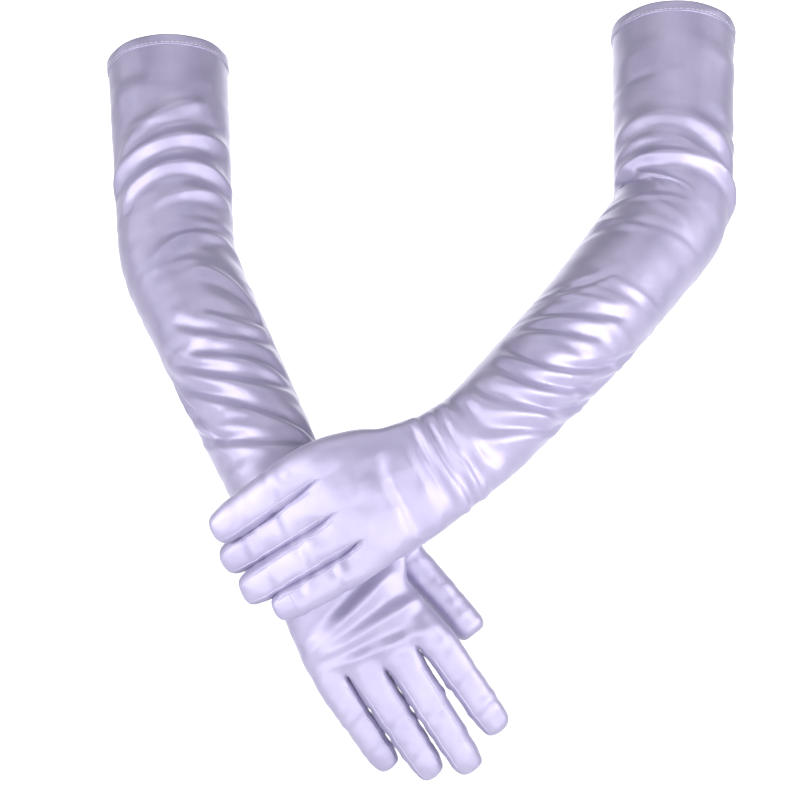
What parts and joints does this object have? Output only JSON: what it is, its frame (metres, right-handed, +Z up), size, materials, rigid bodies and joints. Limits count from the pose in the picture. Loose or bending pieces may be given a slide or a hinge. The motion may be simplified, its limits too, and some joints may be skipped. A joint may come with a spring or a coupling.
{
  "type": "opera gloves",
  "caption": "Pair of long satin opera gloves as worn, the left hand resting across the right wrist, with bending elbows, wrists, fingers and thumbs.",
  "frame": {"origin": "centre of the right glove's arm opening", "axes": "+X from the right glove to the left glove, +Y away from the viewer, +Z up"},
  "size_m": [0.396, 0.2419, 0.45],
  "materials": {
    "satin": "lilac-white stretch satin with a silky sheen",
    "fourchette_satin": "the same satin, cut as narrow strips",
    "thread": "pale lilac sewing thread"
  },
  "bodies": {
    "right_upper_arm": {"right_upper_sleeve": "satin", "right_hem_band": "satin", "right_hem_stitching": "thread", "right_upper_seam": "thread", "right_elbow_sleeve": "satin"},
    "right_forearm": {"right_forearm_sleeve": "satin", "right_forearm_seam": "thread", "right_wrist_sleeve": "satin"},
    "right_hand": {"right_palm_and_back": "satin", "right_palm_seam": "thread", "right_knuckles": "satin", "right_thumb_gusset": "satin"},
    "right_index": {"right_index_finger": "satin", "right_fourchette_1_index": "fourchette_satin"},
    "right_middle": {"right_middle_finger": "satin", "right_fourchette_1_middle": "fourchette_satin", "right_fourchette_2_middle": "fourchette_satin"},
    "right_ring": {"right_ring_finger": "satin", "right_fourchette_2_ring": "fourchette_satin", "right_fourchette_3_ring": "fourchette_satin"},
    "right_little": {"right_little_finger": "satin", "right_fourchette_3_little": "fourchette_satin"},
    "right_thumb_tip": {"right_thumb": "satin"},
    "left_upper_arm": {"left_upper_sleeve": "satin", "left_hem_band": "satin", "left_hem_stitching": "thread", "left_upper_seam": "thread", "left_elbow_sleeve": "satin"},
    "left_forearm": {"left_forearm_sleeve": "satin", "left_forearm_seam": "thread", "left_wrist_sleeve": "satin"},
    "left_hand": {"left_palm_and_back": "satin", "left_palm_seam": "thread", "left_knuckles": "satin", "left_thumb_gusset": "satin"},
    "left_index": {"left_index_finger": "satin", "left_fourchette_1_index": "fourchette_satin"},
    "left_middle": {"left_middle_finger": "satin", "left_fourchette_1_middle": "fourchette_satin", "left_fourchette_2_middle": "fourchette_satin"},
    "left_ring": {"left_ring_finger": "satin", "left_fourchette_2_ring": "fourchette_satin", "left_fourchette_3_ring": "fourchette_satin"},
    "left_little": {"left_little_finger": "satin", "left_fourchette_3_little": "fourchette_satin"},
    "left_thumb_tip": {"left_thumb": "satin"}
  },
  "joints": [
    {"name": "right_elbow_bend", "type": "hinge", "parent": "right_upper_arm", "child": "right_forearm", "pos_m": [0.01136, -0.04233, -0.1298], "axis": [0.8829, 0, 0.4695], "range_deg": [0, 32], "deforming": ["right_elbow_sleeve"]},
    {"name": "right_wrist_bend", "type": "hinge", "parent": "right_forearm", "child": "right_hand", "pos_m": [0.09656, -0.15574, -0.29004], "axis": [0.848, 0, 0.5299], "range_deg": [0, 40], "deforming": ["right_wrist_sleeve"]},
    {"name": "right_index_curl", "type": "hinge", "parent": "right_hand", "child": "right_index", "pos_m": [0.16609, -0.16139, -0.34187], "axis": [0.8192, 0.0037, 0.5735], "range_deg": [0, 70], "deforming": ["right_knuckles"]},
    {"name": "right_middle_curl", "type": "hinge", "parent": "right_hand", "child": "right_middle", "pos_m": [0.14934, -0.16153, -0.35469], "axis": [0.848, 0, 0.5299], "range_deg": [0, 75], "deforming": ["right_knuckles"]},
    {"name": "right_ring_curl", "type": "hinge", "parent": "right_hand", "child": "right_ring", "pos_m": [0.12984, -0.16125, -0.36217], "axis": [0.8387, 0.0012, 0.5446], "range_deg": [0, 75], "deforming": ["right_knuckles"]},
    {"name": "right_little_curl", "type": "hinge", "parent": "right_hand", "child": "right_little", "pos_m": [0.1095, -0.16069, -0.36547], "axis": [0.8291, 0.0024, 0.5591], "range_deg": [0, 75], "deforming": ["right_knuckles"]},
    {"name": "right_thumb_fold", "type": "hinge", "parent": "right_hand", "child": "right_thumb_tip", "pos_m": [0.15134, -0.14329, -0.29939], "axis": [0.7508, -0.0381, 0.6594], "range_deg": [0, 35], "deforming": ["right_thumb_gusset"]},
    {"name": "left_glove_lift", "type": "slide", "parent": "right_upper_arm", "child": "left_upper_arm", "axis": [0, -1, 0], "range_m": [0, 0.12]},
    {"name": "left_elbow_bend", "type": "hinge", "parent": "left_upper_arm", "child": "left_forearm", "pos_m": [0.31368, -0.05924, -0.10462], "axis": [-0.7314, 0, 0.682], "range_deg": [0, 32], "deforming": ["left_elbow_sleeve"]},
    {"name": "left_wrist_bend", "type": "hinge", "parent": "left_forearm", "child": "left_hand", "pos_m": [0.18991, -0.17265, -0.23735], "axis": [-0.4305, 0, 0.9026], "range_deg": [0, 40], "deforming": ["left_wrist_sleeve"]},
    {"name": "left_index_straighten", "type": "hinge", "parent": "left_hand", "child": "left_index", "pos_m": [0.10759, -0.19768, -0.2437], "axis": [-0.5864, -0.059, 0.8079], "range_deg": [0, 28], "deforming": ["left_knuckles"]},
    {"name": "left_middle_straighten", "type": "hinge", "parent": "left_hand", "child": "left_middle", "pos_m": [0.11431, -0.1983, -0.26221], "axis": [-0.5864, -0.059, 0.8079], "range_deg": [0, 36], "deforming": ["left_knuckles"]},
    {"name": "left_ring_straighten", "type": "hinge", "parent": "left_hand", "child": "left_ring", "pos_m": [0.1261, -0.19706, -0.27809], "axis": [-0.5663, -0.051, 0.8226], "range_deg": [0, 28], "deforming": ["left_knuckles"]},
    {"name": "left_little_straighten", "type": "hinge", "parent": "left_hand", "child": "left_little", "pos_m": [0.1408, -0.19459, -0.29124], "axis": [-0.5458, -0.043, 0.8368], "range_deg": [0, 21], "deforming": ["left_knuckles"]},
    {"name": "left_thumb_open", "type": "hinge", "parent": "left_hand", "child": "left_thumb_tip", "pos_m": [0.1437, -0.16033, -0.2328], "axis": [0.8869, 0.3082, 0.3441], "range_deg": [0, 25], "deforming": ["left_thumb_gusset"]}
  ]
}
